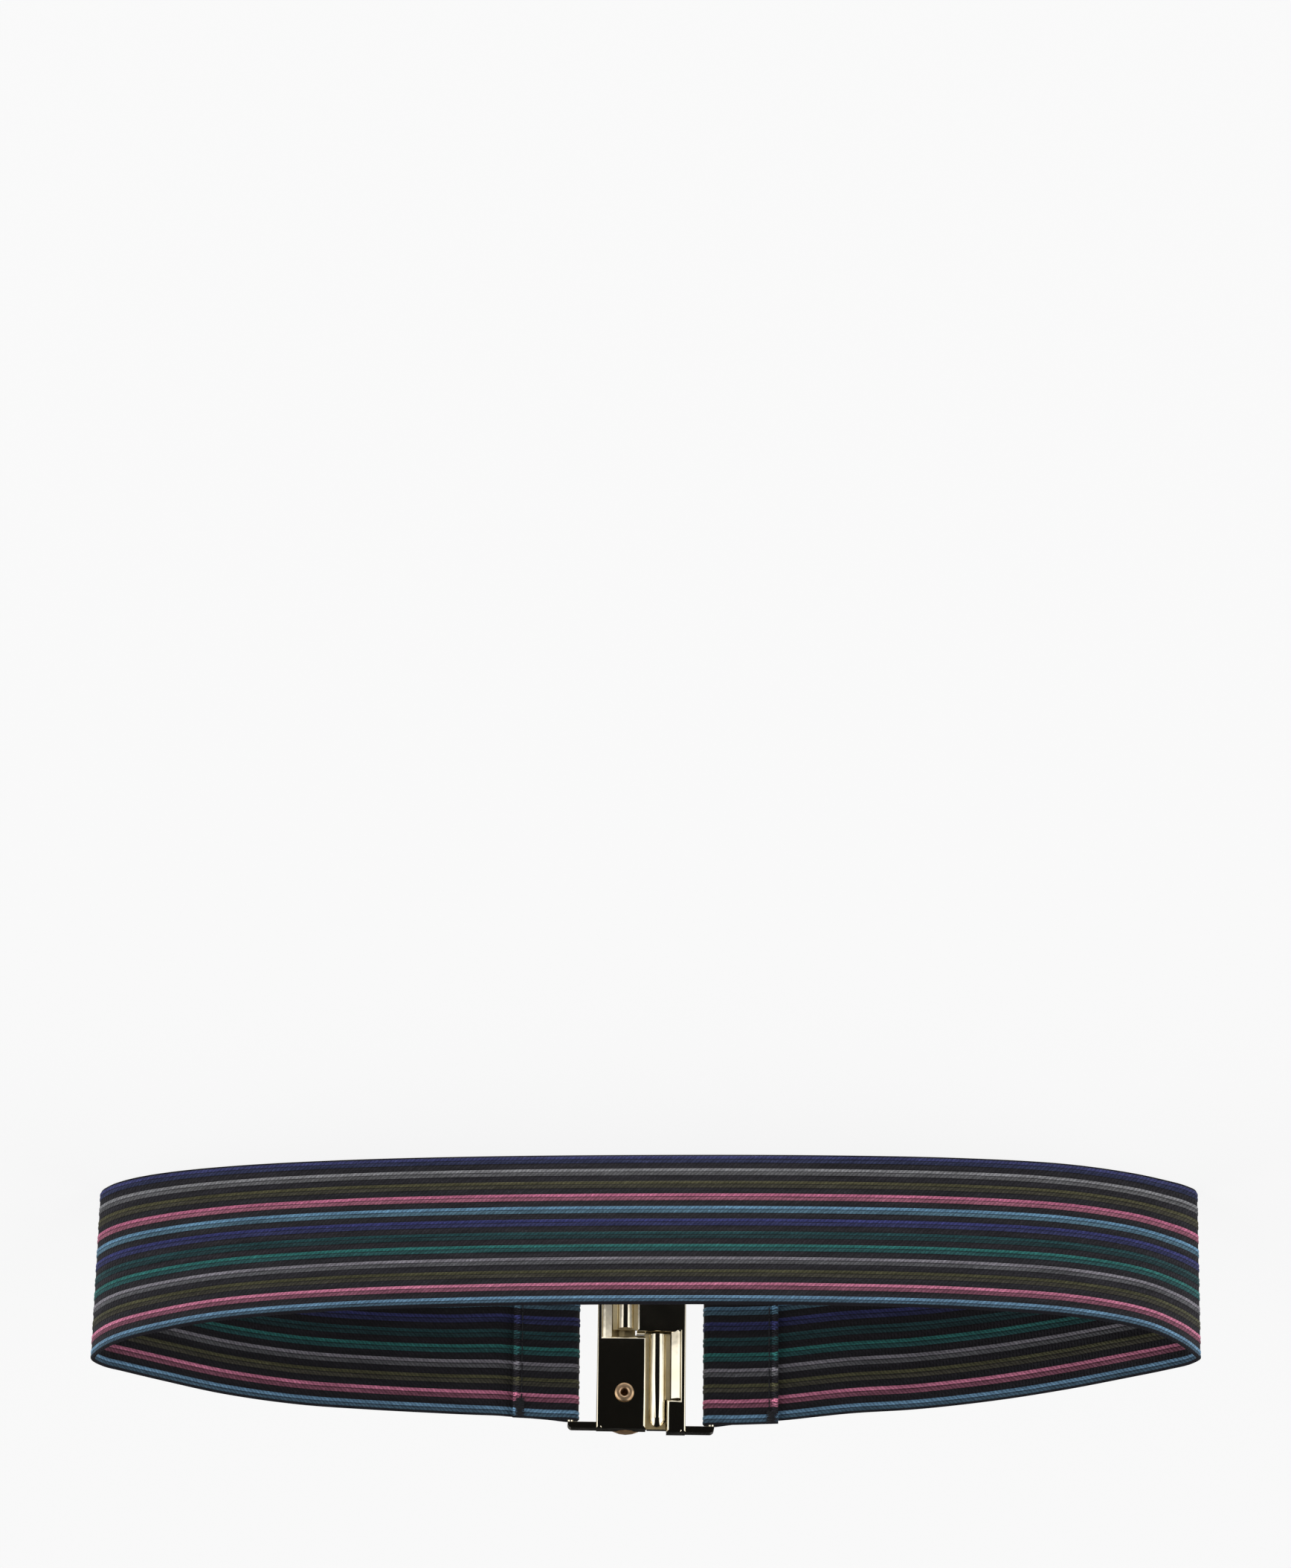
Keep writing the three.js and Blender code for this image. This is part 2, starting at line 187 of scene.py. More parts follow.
def claspFrame():
    lean = math.radians(belt["claspLean"])
    height = (belt["castingHalfHeight"] + belt["halfSlide"]) * math.cos(lean)
    height += belt["castingFront"] * math.sin(lean)
    place = Vector((belt["claspAcross"], belt["claspDepth"], height))
    turn = Matrix.Rotation(math.radians(belt["claspTurn"]), 4, "Z")
    return Matrix.Translation(place) @ turn @ Matrix.Rotation(math.pi / 2 + lean, 4, "X")


clasp = claspFrame()
claspWidth = clasp.to_3x3() @ Vector((0, 1, 0))


def onCurve(points, row):
    # a smooth centripetal curve through the points, where row counts in points
    i = min(int(row), len(points) - 2)
    share = row - i
    b, c = points[i], points[i + 1]
    a = points[i - 1] if i > 0 else 2 * b - c
    d = points[i + 2] if i + 2 < len(points) else 2 * c - b
    ab, bc, cd = (math.sqrt((q - p).length) for p, q in ((a, b), (b, c), (c, d)))
    leave = ((b - a) / ab - (c - a) / (ab + bc) + (c - b) / bc) * bc
    arrive = ((c - b) / bc - (d - b) / (bc + cd) + (d - c) / cd) * bc
    square = -3 * b + 3 * c - 2 * leave - arrive
    cube = 2 * b - 2 * c + leave + arrive
    return b + leave * share + square * share ** 2 + cube * share ** 3


def foldStations(side, leave):
    # from the tab's cut end round the bar and along the outer layer, for side -1 or 1
    path = webbingPath
    tabEnd = leave["tabEnd"]
    barAt = belt["castingEnd"] - belt["barRadius"]
    closed = barAt + path["closingLength"]

    def layer(z):
        row = []
        for i in range(path["closingSteps"] + 1):
            share = i / path["closingSteps"]
            eased = (1 - math.cos(math.pi * share)) / 2
            apart = path["apartAtBar"] + (path["apartAtEnd"] - path["apartAtBar"]) * eased
            row.append((barAt + path["closingLength"] * share, z * apart))
        return row

    tab = [
        (tabEnd + (closed - tabEnd) * i / path["tabSteps"], -path["apartAtEnd"])
        for i in range(path["tabSteps"])
    ]
    turn = []
    for i in range(1, path["foldSteps"]):
        angle = math.radians(-90 + 180 * i / path["foldSteps"])
        turn.append((barAt - path["apartAtBar"] * math.cos(angle), path["apartAtBar"] * math.sin(angle)))
    run = [(x, path["apartAtEnd"]) for x in path["straight"]]
    stations = []
    swing = math.radians(leave["swing"])
    for x, z in tab + layer(-1)[::-1] + turn + layer(1) + run:
        out = x - barAt
        slipped = max(0, out) * leave["tabSlip" if z < 0 else "slip"]
        across = side * (barAt + out * math.cos(swing) + z * math.sin(swing))
        inwards = z * math.cos(swing) - out * math.sin(swing)
        place = clasp @ Vector((across, side * belt["halfSlide"] - slipped, inwards))
        stations.append({
            "place": place,
            "lean": belt["claspLean"],
            "rests": False,
            "loop": False,
            "tab": z < 0,
        })
    return stations


def loopStations(start, end):
    rows = []
    for section in loopSections:
        height = belt["width"] / 2 * math.cos(math.radians(section["lean"])) + section["lift"]
        rows.append((Vector((section["across"], section["depth"], height)), section["lean"], section["lift"]))
    ends = [[(s["place"], s["lean"], None) for s in part] for part in (start, end)]
    knots = ends[0] + rows + ends[1]
    places = [place for place, lean, lift in knots]
    leans = [Vector((place.x, place.y, lean)) for place, lean, lift in knots]
    steps = webbingPath["stepsPerSection"]
    stations = []
    for i in range((len(start) - 1) * steps, (len(knots) - len(end)) * steps + 1):
        row = i / steps
        lifts = knots[math.floor(row)][2], knots[math.ceil(row)][2]
        stations.append({
            "place": onCurve(places, row),
            "lean": onCurve(leans, row).z,
            "rests": lifts == (0, 0),
            "loop": True,
            "tab": False,
        })
    return stations


def webbingStations():
    # each station's place at half width, its direction across the width, its outer face and its length along
    straight = len(webbingPath["straight"])
    left = foldStations(-1, leaving["left"])
    right = foldStations(1, leaving["right"])[::-1]
    stations = left[:-1] + loopStations(left[-straight:], right[:straight]) + right[1:]
    length = 0
    for i, station in enumerate(stations):
        before = stations[max(i - 1, 0)]["place"]
        after = stations[min(i + 1, len(stations) - 1)]["place"]
        along = (after - before).normalized()
        width = claspWidth.copy()
        if station["loop"]:
            outward = sideOn.cross(along)
            outward.z = 0
            lean = math.radians(station["lean"])
            width = sideOn * math.cos(lean) + outward.normalized() * math.sin(lean)
        length += (station["place"] - before).length
        station.update(width=width, face=width.cross(along).normalized(), length=length)
    return stations


def webbingColumns():
    # places across the width, closer together on each yarn
    columns = {*stripes["lowerColumns"], *(belt["width"] - c for c in stripes["upperColumns"])}
    for line in stripeLines():
        bright, dull = stripes["brightHalf"], stripes["dullHalf"]
        for share in stripes["yarnColumns"]:
            columns.add(line + bright * share)
            columns.add(line + stripes["dullAt"] + dull * share)
        columns.add(line + (stripes["pitch"] + stripes["dullAt"] + dull - bright) / 2)
    return sorted(c for c in columns if 0 <= c <= belt["width"])


def stripeLines():
    count = int((belt["width"] - stripes["first"]) / stripes["pitch"]) + 1
    return [stripes["first"] + stripes["pitch"] * i for i in range(count)]


def halfThickness(across):
    # from the middle of the webbing to its surface, raised on the yarns and rounded at both edges
    rise = 0
    for line in stripeLines():
        for middle, half in ((line, stripes["brightHalf"]), (line + stripes["dullAt"], stripes["dullHalf"])):
            share = abs(across - middle) / half
            if share < 1:
                rise = max(rise, math.sqrt(1 - share ** 2))
    toEdge = min(across, belt["width"] - across) / stripes["edgeRound"]
    rounding = math.sqrt(1 - (1 - toEdge) ** 2) if toEdge < 1 else 1
    return max(stripes["edgeHalf"], (stripes["groundHalf"] + stripes["yarnRise"] * rise) * rounding)


def webbingMesh():
    stations = webbingStations()
    columns = webbingColumns()
    mesh = bmesh.new()
    weave = mesh.verts.layers.float_vector.new("weave")
    half = 0.5   # a grid's half side, until its vertices move to their stations
    edgeLoops = []
    for face in (1, -1):
        made = bmesh.ops.create_grid(mesh, x_segments=len(stations) - 1, y_segments=len(columns) - 1,
                                     size=half)
        if face > 0:
            bmesh.ops.reverse_faces(mesh, faces=list({f for v in made["verts"] for f in v.link_faces}))
        edgeLoops += [e for v in made["verts"] for e in v.link_edges if e.is_boundary]
        for vert in made["verts"]:
            station = stations[round((vert.co.x + half) * (len(stations) - 1))]
            across = columns[round((vert.co.y + half) * (len(columns) - 1))]
            offset = across - belt["width"] / 2
            surface = face * halfThickness(across)
            if offset < 0:   # the lower half ends on the floor, or just over it where its edge is lifted
                toFloor = station["place"].z / station["width"].z
                reach = toFloor if station["rests"] else min(belt["width"] / 2, toFloor)
                offset *= reach * 2 / belt["width"]
            place = station["place"] + station["width"] * offset + station["face"] * surface
            vert.co = Vector((place.x, place.y, max(place.z, 0))) * mm
            # the third value is 1 on the outer faces of the loop and 0 inside it and on the tabs, where the
            # painted shade goes
            vert[weave] = Vector((station["length"], across, float(face > 0 and not station["tab"])))
    bmesh.ops.bridge_loops(mesh, edges=list(set(edgeLoops)))
    return mesh, stations


# The stripes' colours from the lower edge up, and the weave's sizes. Each shade is two factors on a
# colour, for the least and the most of what it follows.
webbingLook = {
    "bright": ("#34375f", "#757578", "#45432f", "#a85f7a", "#587c96", "#303362",
               "#1c3c3f", "#265e5b", "#6f6c73", "#3f3e2b", "#ad6780", "#587891"),
    "dull": ("#2c3049", "#535355", "#3a382f", "#814f5f", "#46606f", "#2d3050",
             "#1f3437", "#254849", "#4d4d50", "#39372f", "#6f4453", "#3f5565"),
    "ground": "#252428",
    # painted shade: the ground is darker on the faces inside the loop and on the tabs, where less light
    # reaches
    "shadedInsideGround": "#1b1a1e",
    "selvage": "#16161b",
    "groove": "#141316",
    "yarnSoft": 0.12,         # how softly a yarn's colour ends
    "grooveSoft": 0.25,
    "selvageSoft": 0.25,
    "twist": {"pitch": 1.1, "slope": 0.8},    # one turn of a yarn; the real 0.7 mm wouldn't show
    "loop": {"pitch": 3.1, "slope": 0.35},    # the knitted loops that hold the yarns
    "weft": {"pitch": 0.9, "slope": 0.0},     # cross ribs of the ground; the real 0.5 mm wouldn't show
    "stripeJump": 3.37,
    "streakLength": 14,       # how far a change of shade runs along a yarn
    "streaksAcross": 0.9,     # changes of that shade in a millimetre across the width
    "fibres": 1.3,            # and of the fine one, any way
    "wander": 0.9,            # how far the fibres bend the weave's lines, in turns
    "streakShade": (0.7, 1.26),
    "loopShade": (0.9, 1.1),
    "twistShade": (0.72, 1.26),
    "lintShade": (1.0, 1.35),
    "lintFrom": (0.58, 0.7),  # the part of the fine noise that is a loose fibre
    "insideShade": (0.3, 1.0),   # inside the loop, less light reaches the webbing near the surface below
    "relief": 0.12,
    "reliefStrength": 0.8,
    "roughness": (0.82, 0.55),   # on the ground and on the bright yarns
    "gloss": 0.12,
}


def webbingMaterial(name, lightness):
    # Narrow polyester webbing woven over rubber threads: matte, with slightly lustrous raised yarns. The
    # clear nylon thread over it takes the same colours, made lighter as a painted sheen.
    look = webbingLook
    material, tree = newMaterial(name)
    place = addNode(tree, "ShaderNodeAttribute", attribute_name="weave")
    split = addNode(tree, "ShaderNodeSeparateXYZ", {0: place.outputs["Vector"]})
    along, across, outside = split.outputs

    # which stripe, and where in it, starting half a ground before the bright yarn
    start = stripes["first"] - stripes["groundBefore"]
    repeat = addNode(tree, "ShaderNodeMath", {0: across, 1: start}, operation="SUBTRACT")
    repeat = addNode(tree, "ShaderNodeMath", {0: repeat.outputs[0], 1: stripes["pitch"]}, operation="DIVIDE")
    number = addNode(tree, "ShaderNodeMath", {0: repeat.outputs[0]}, operation="FLOOR")
    inStripe = addNode(tree, "ShaderNodeMath", {0: repeat.outputs[0]}, operation="FRACT")
    count = len(look["bright"])
    shelf = addNode(tree, "ShaderNodeMath", {0: number.outputs[0], 1: 0.5}, operation="ADD")
    shelf = addNode(tree, "ShaderNodeMath", {0: shelf.outputs[0], 1: count}, operation="DIVIDE")
    yarnColours = []
    for row in ("bright", "dull"):
        ramp = addNode(tree, "ShaderNodeValToRGB", {"Fac": shelf.outputs[0]})
        setStops(ramp, [(i / count, linear(c)) for i, c in enumerate(look[row])], "CONSTANT")
        yarnColours.append(ramp.outputs["Color"])

    # red is the bright yarn, green the dull one and blue the grooves beside them
    def at(local):
        return (local + stripes["groundBefore"]) / stripes["pitch"]

    profile = addNode(tree, "ShaderNodeValToRGB", {"Fac": inStripe.outputs[0]})
    soft, grooveSoft = look["yarnSoft"], look["grooveSoft"]
    bright, dull, dullAt = stripes["brightHalf"], stripes["dullHalf"], stripes["dullAt"]
    setStops(profile, [
        (at(-bright - grooveSoft), (0, 0, 0, 1)),
        (at(-bright), (0, 0, 1, 1)),
        (at(-bright + soft), (1, 0, 0, 1)),
        (at(bright - soft), (1, 0, 0, 1)),
        (at((bright + dullAt - dull) / 2), (0, 0, 1, 1)),
        (at(dullAt - dull + soft), (0, 1, 0, 1)),
        (at(dullAt + dull - soft), (0, 1, 0, 1)),
        (at(dullAt + dull), (0, 0, 1, 1)),
        (at(dullAt + dull + grooveSoft), (0, 0, 0, 1)),
    ], "LINEAR")
    part = addNode(tree, "ShaderNodeSeparateColor", {0: profile.outputs["Color"]})

    # a slow change of shade along each yarn, and a fine one
    slow = addNode(tree, "ShaderNodeMath", {0: along, 1: 1 / look["streakLength"]}, operation="MULTIPLY")
    lane = addNode(tree, "ShaderNodeMath", {0: across, 1: look["streaksAcross"]}, operation="MULTIPLY")
    slowPlace = addNode(tree, "ShaderNodeCombineXYZ", {0: slow.outputs[0], 1: lane.outputs[0], 2: outside})
    streak = addNode(tree, "ShaderNodeTexNoise", {"Vector": slowPlace.outputs[0], "Scale": 1.0,
                                                  "Detail": 4.0})
    finePlace = addNode(tree, "ShaderNodeCombineXYZ", {0: along, 1: across, 2: outside})
    fibre = addNode(tree, "ShaderNodeTexNoise", {"Vector": finePlace.outputs[0], "Scale": look["fibres"],
                                                 "Detail": 3.0})
    wander = addNode(tree, "ShaderNodeMath", {0: fibre.outputs["Fac"], 1: look["wander"]},
                     operation="MULTIPLY")

    # twists, loops and ribs, with a jump at each stripe so that no line runs on over the whole width
    jump = addNode(tree, "ShaderNodeMath", {0: number.outputs[0], 1: look["stripeJump"]},
                   operation="MULTIPLY")
    leaning = addNode(tree, "ShaderNodeMath", {0: across, 1: jump.outputs[0]}, operation="ADD")
    waves = {}
    for pattern in ("twist", "loop", "weft"):
        turns = addNode(tree, "ShaderNodeMath", {0: along, 1: 1 / look[pattern]["pitch"]},
                        operation="MULTIPLY")
        lean = addNode(tree, "ShaderNodeMath", {0: leaning.outputs[0], 1: look[pattern]["slope"]},
                       operation="MULTIPLY")
        phase = addNode(tree, "ShaderNodeMath", {0: turns.outputs[0], 1: lean.outputs[0]}, operation="ADD")
        phase = addNode(tree, "ShaderNodeMath", {0: phase.outputs[0], 1: wander.outputs[0]}, operation="ADD")
        phase = addNode(tree, "ShaderNodeMath", {0: phase.outputs[0], 1: math.tau}, operation="MULTIPLY")
        wave = addNode(tree, "ShaderNodeMath", {0: phase.outputs[0]}, operation="SINE")
        waves[pattern] = wave.outputs[0]

    # colour: ground and grooves, then the two yarns over them, then all the shades and the dark selvages
    ground = addNode(tree, "ShaderNodeMix", {"Factor": outside, 6: linear(look["shadedInsideGround"]),
                                             7: linear(look["ground"])}, data_type="RGBA")
    colour = addNode(tree, "ShaderNodeMix", {"Factor": part.outputs[2], 6: ground.outputs[2],
                                             7: linear(look["groove"])}, data_type="RGBA")
    for mask, yarn in zip(part.outputs, yarnColours):
        colour = addNode(tree, "ShaderNodeMix", {"Factor": mask, 6: colour.outputs[2], 7: yarn},
                         data_type="RGBA")
    shades = []
    for value, span, shade in ((streak.outputs["Fac"], (0.3, 0.7), look["streakShade"]),
                               (waves["loop"], (-1.0, 1.0), look["loopShade"]),
                               (waves["twist"], (-1.0, 1.0), look["twistShade"]),
                               (fibre.outputs["Fac"], look["lintFrom"], look["lintShade"]),
                               (across, (0.0, belt["width"]), look["insideShade"])):
        shades.append(addNode(tree, "ShaderNodeMapRange", {
            "Value": value, "From Min": span[0], "From Max": span[1],
            "To Min": shade[0], "To Max": shade[1]}))
    # painted shade inside the loop: darker towards the lower edge on the inner faces, the tabs and the
    # threads
    shadow = addNode(tree, "ShaderNodeMix", {"Factor": outside, 2: shades.pop().outputs[0], 3: 1.0})
    # lightness is the clear thread's painted sheen, 1 on the webbing itself
    total = addNode(tree, "ShaderNodeMath", {0: shadow.outputs[0], 1: lightness}, operation="MULTIPLY")
    for shade in shades:
        total = addNode(tree, "ShaderNodeMath", {0: total.outputs[0], 1: shade.outputs[0]},
                        operation="MULTIPLY")
    colour = addNode(tree, "ShaderNodeVectorMath", {0: colour.outputs[2], "Scale": total.outputs[0]},
                     operation="SCALE")
    selvage, selvageSoft = stripes["selvage"], look["selvageSoft"]
    edge = addNode(tree, "ShaderNodeMapRange", {"Value": across, "From Min": selvage,
                                                "From Max": selvage + selvageSoft})
    farEdge = addNode(tree, "ShaderNodeMapRange", {
        "Value": across, "From Min": belt["width"] - selvage - selvageSoft,
        "From Max": belt["width"] - selvage, "To Min": 1.0, "To Max": 0.0})
    inside = addNode(tree, "ShaderNodeMath", {0: edge.outputs[0], 1: farEdge.outputs[0]},
                     operation="MULTIPLY")
    colour = addNode(tree, "ShaderNodeMix", {"Factor": inside.outputs[0], 6: linear(look["selvage"]),
                                             7: colour.outputs[0]}, data_type="RGBA")

    # height: twisted yarns, cross ribs on the ground and loose fibres
    onYarn = addNode(tree, "ShaderNodeMath", {0: part.outputs[0], 1: part.outputs[1]}, operation="ADD")
    relief = addNode(tree, "ShaderNodeMix", {"Factor": onYarn.outputs[0], 2: waves["weft"],
                                             3: waves["twist"]})
    relief = addNode(tree, "ShaderNodeMath", {0: relief.outputs[0], 1: 0.5}, operation="MULTIPLY")
    relief = addNode(tree, "ShaderNodeMath", {0: relief.outputs[0], 1: fibre.outputs["Fac"]}, operation="ADD")
    bump = addNode(tree, "ShaderNodeBump", {"Height": relief.outputs[0], "Distance": look["relief"] * mm,
                                            "Strength": look["reliefStrength"]})
    rough = addNode(tree, "ShaderNodeMapRange", {"Value": part.outputs[0], "To Min": look["roughness"][0],
                                                 "To Max": look["roughness"][1]})
    shader = addNode(tree, "ShaderNodeBsdfPrincipled", {
        "Base Color": colour.outputs[2],
        "Roughness": rough.outputs[0],
        "Specular IOR Level": look["gloss"],
        "Normal": bump.outputs[0],
    })
    addNode(tree, "ShaderNodeOutputMaterial", {"Surface": shader.outputs[0]})
    return material


mesh, stations = webbingMesh()
webbing = newPiece("striped_webbing", mesh, webbingMaterial("wovenElasticWebbing", 1.0))
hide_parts("elastic_band")
for polygon in webbing.data.polygons:
    polygon.use_smooth = True


def boxMiddle(points):
    points = list(points)
    return Vector([(min(p[i] for p in points) + max(p[i] for p in points)) / 2 for i in range(3)])


# the frame's origin is in the middle of the footprint, so everything moves by the same small step
toOrigin = sum(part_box("elastic_band"), Vector()) / 2 - boxMiddle(v.co for v in webbing.data.vertices)
toOrigin.z = 0
webbing.visible_glossy = False   # the plates mirror a dark room, as in the photograph
webbing.data.transform(Matrix.Translation(toOrigin))
print("webbing:", len(webbing.data.polygons), "faces, length", round(stations[-1]["length"], 1), "mm")


# Sewing on the two tabs: the cut end is overcast with clear thread, beside it runs a row of black stitches,
# and a dense black bar over both holds the upper corner. From, to and at are measured from the cut end, and
# first and last across the width.
tabSewing = {
    "thread": 0.15,       # radius
    "sides": 5,
    # painted sheen: the clear thread is the webbing under it, made this much lighter
    "clearPaintedSheen": 2.8,    # how much lighter the clear thread is than the webbing under it
    "lift": 0.08,         # the thread's middle over the webbing's surface
    "cornerLift": 0.3,    # the bar lies over the seam and the overcasting
    "overcast": {"from": 0.15, "to": 1.7, "step": 0.34, "first": 0.6, "last": 49.4},
    "running": {"at": 2.4, "stitch": 2.2, "pause": 0.6, "first": 1.5, "last": 47.5},
    "corner": {
        "left": {"from": 0.8, "to": 3.2, "step": 0.22, "first": 44.8, "last": 49.6},
        "right": {"from": 0.1, "to": 3.1, "step": 0.22, "first": 46.8, "last": 49.7},
    },
}


def onTab(row, fromEnd, across, lift):
    # a place on a tab's visible face, where row holds the stations from its cut end on
    start = row[0]["length"]
    for before, after in zip(row, row[1:]):
        reach = abs(after["length"] - start)
        if reach >= fromEnd:
            break
    share = (fromEnd - reach) / abs(after["length"] - before["length"]) + 1
    middle = before["place"].lerp(after["place"], share)
    surface = before["face"] * (halfThickness(across) + lift)
    return middle + before["width"] * (across - belt["width"] / 2) + surface


def addThread(mesh, weave, row, route, lift):
    # one thread through (from the end, across) pairs, lying on the tab: a disc that is extruded to each place
    points = [onTab(row, fromEnd, across, lift) * mm for fromEnd, across in route]
    up = row[0]["face"]
    aside = (points[1] - points[0]).cross(up).normalized()
    turn = Matrix((-up, aside, aside.cross(up))).transposed().to_4x4()
    ring = bmesh.ops.create_circle(mesh, cap_ends=True, segments=tabSewing["sides"],
                                   radius=tabSewing["thread"] * mm,
                                   matrix=Matrix.Translation(points[0]) @ turn)["verts"]
    end = ring[0].link_faces[0]
    for i, (fromEnd, across) in enumerate(route):
        if i > 0:
            made = bmesh.ops.extrude_face_region(mesh, geom=[end, *end.edges])["geom"]
            ring = [part for part in made if isinstance(part, bmesh.types.BMVert)]
            end = [part for part in made if isinstance(part, bmesh.types.BMFace)][0]
            bmesh.ops.translate(mesh, verts=ring, vec=points[i] - points[i - 1])
        for vert in ring:
            # 0 puts the painted shade inside the loop on the thread too
            vert[weave] = Vector((row[0]["length"] + fromEnd, across, 0))


def zigzagRoutes(sizes):
    # the straight pieces of thread between the turns of a zigzag
    steps = round((sizes["last"] - sizes["first"]) / sizes["step"])
    turns = [
        (sizes["to"] if i % 2 else sizes["from"], sizes["first"] + sizes["step"] * i)
        for i in range(steps + 1)
    ]
    return list(zip(turns, turns[1:]))


def runningRoutes():
    running = tabSewing["running"]
    routes = []
    across = running["first"]
    while across < running["last"]:
        reach = min(across + running["stitch"], running["last"])
        routes.append([(running["at"], a) for a in (across, (across + reach) / 2, reach)])
        across = reach + running["pause"]
    return routes


def sewn(name, row, routes, material, lift):
    mesh = bmesh.new()
    weave = mesh.verts.layers.float_vector.new("weave")
    for route in routes:
        addThread(mesh, weave, row, route, lift)
    bmesh.ops.recalc_face_normals(mesh, faces=mesh.faces)
    piece = newPiece(name, mesh, material)
    piece.data.transform(Matrix.Translation(toOrigin))
    piece.visible_glossy = False
    for polygon in piece.data.polygons:
        polygon.use_smooth = True
    return piece


blackThreadLook = {
    "dark": "#0d0d10",
    "light": "#26272b",
    "plyPitch": 0.4,
    "lint": 0.5,
    "relief": 0.05,
}
waveLength = 0.314   # a wave texture of scale 1 repeats after this distance


def blackThreadMaterial():
    # Black spun polyester sewing thread, two-ply: dull, with the twist of its plies and some lint
    look = blackThreadLook
    material, tree = newMaterial("blackPolyesterThread")
    place = addNode(tree, "ShaderNodeTexCoord")
    ply = addNode(tree, "ShaderNodeTexWave", {"Vector": place.outputs["Object"],
                                              "Scale": waveLength / (look["plyPitch"] * mm)},
                  bands_direction="DIAGONAL")
    lint = addNode(tree, "ShaderNodeTexNoise", {"Vector": place.outputs["Object"],
                                                "Scale": 1 / (look["lint"] * mm)})
    colour = addNode(tree, "ShaderNodeMix", {"Factor": lint.outputs["Fac"], 6: linear(look["dark"]),
                                             7: linear(look["light"])}, data_type="RGBA")
    bump = addNode(tree, "ShaderNodeBump", {"Height": ply.outputs["Fac"], "Distance": look["relief"] * mm})
    shader = addNode(tree, "ShaderNodeBsdfPrincipled", {
        "Base Color": colour.outputs[2],
        "Roughness": 0.7,
        "Specular IOR Level": 0.15,
        "Normal": bump.outputs[0],
    })
    addNode(tree, "ShaderNodeOutputMaterial", {"Surface": shader.outputs[0]})
    return material


clearThread = webbingMaterial("clearNylonThread", tabSewing["clearPaintedSheen"])
blackThread = blackThreadMaterial()
for side, row in (("left", stations), ("right", stations[::-1])):
    overcast = zigzagRoutes(tabSewing["overcast"])
    corner = zigzagRoutes(tabSewing["corner"][side])
    sewn(f"tab_overcast_{side}", row, overcast, clearThread, tabSewing["lift"])
    sewn(f"tab_seam_{side}", row, runningRoutes(), blackThread, tabSewing["lift"])
    sewn(f"tab_corner_{side}", row, corner, blackThread, tabSewing["cornerLift"])

# Clasp: two plated castings and the disc riveted to one of them
castingLook = {
    "mergeWithin": 0.005,
    "flatWithin": 0.4,      # degrees
    "sharpFrom": 40,        # the solids' own rounded edges turn less than this at a step
    "onLevelWithin": 0.02,
    "armFace": -1.6,        # the slot frame's inner face, in the clasp's own frame
    "slotEnd": 25.4,
    "slotEndRadius": 1.05,
    "slotEndSegments": 4,
    "edgeRadius": 0.12,
    "edgeSegments": 2,
    "recessFrom": -1,       # faces deeper than this keep their satin finish
    "recessAcross": 11.9,
    "recessFacing": -0.9,   # and look straight inwards
}


def inClasp(point):
    return clasp.inverted() @ ((point - toOrigin) / mm)


def roundEdges(mesh, radius, segments, wanted):
    sharpFrom = math.radians(castingLook["sharpFrom"])
    edges = [
        e for e in mesh.edges
        if e.is_manifold and e.calc_face_angle() > sharpFrom and wanted(e)
    ]
    bmesh.ops.bevel(mesh, geom=edges, offset=radius * mm, offset_type="OFFSET", affect="EDGES",
                    segments=segments, profile=0.5, clamp_overlap=True, material=-1)


def atSlotEnd(edge):
    # an inner edge of the arms at a slot's ends, wherever its half stands
    look = castingLook
    ends = [inClasp(v.co) for v in edge.verts]
    inSlot = all(abs(abs(e.y) - look["slotEnd"]) < belt["halfSlide"] + look["onLevelWithin"] for e in ends)
    return inSlot and all(abs(e.z - look["armFace"]) < look["onLevelWithin"] for e in ends)


def softenedCopy(nodeName, pieceName, materials, isCasting):
    # a copy of the solid with its edges rounded as polishing and plating leave them
    look = castingLook
    mesh = bmesh.new()
    mesh.from_mesh(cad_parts[nodeName].data)
    bmesh.ops.remove_doubles(mesh, verts=mesh.verts, dist=look["mergeWithin"] * mm)
    bmesh.ops.dissolve_limit(mesh, angle_limit=math.radians(look["flatWithin"]),
                             verts=mesh.verts, edges=mesh.edges)
    if isCasting:
        roundEdges(mesh, look["slotEndRadius"], look["slotEndSegments"], atSlotEnd)
    roundEdges(mesh, look["edgeRadius"], look["edgeSegments"], lambda e: True)
    piece = newPiece(pieceName, mesh, materials[0])
    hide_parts(nodeName)
    for material in materials[1:]:
        piece.data.materials.append(material)
    toClasp = clasp.inverted().to_3x3()
    for polygon in piece.data.polygons:
        polygon.use_smooth = True
        middle = inClasp(polygon.center)
        faces = (toClasp @ polygon.normal).z
        isDeep = middle.z > look["recessFrom"] and faces < look["recessFacing"]
        if len(materials) > 1 and isDeep and abs(middle.x) < look["recessAcross"]:
            polygon.material_index = 1
    weighted = piece.modifiers.new("flatFacesStayFlat", "WEIGHTED_NORMAL")
    weighted.weight = 100
    return piece


# The metals, with the depth of their waves and the size of their duller patches in millimetres
metalLook = {
    "polishedPaleGoldPlate": {"colour": "#e1d9c5", "dull": "#d9cfb8", "roughness": 0.07, "waves": 0.02,
                              "patch": 7},
    "satinPaleGoldPlate": {"colour": "#ddcca4", "dull": "#b5a37b", "roughness": 0.36, "waves": 0.03,
                           "patch": 7},
    "tumbledBrass": {"colour": "#cdb08d", "dull": "#a98c70", "roughness": 0.34, "waves": 0.04,
                     "patch": 2.6},
}
waveSize = 4     # millimetres across a wave of the polishing
dullerBy = 1.6   # how much rougher the duller patches are


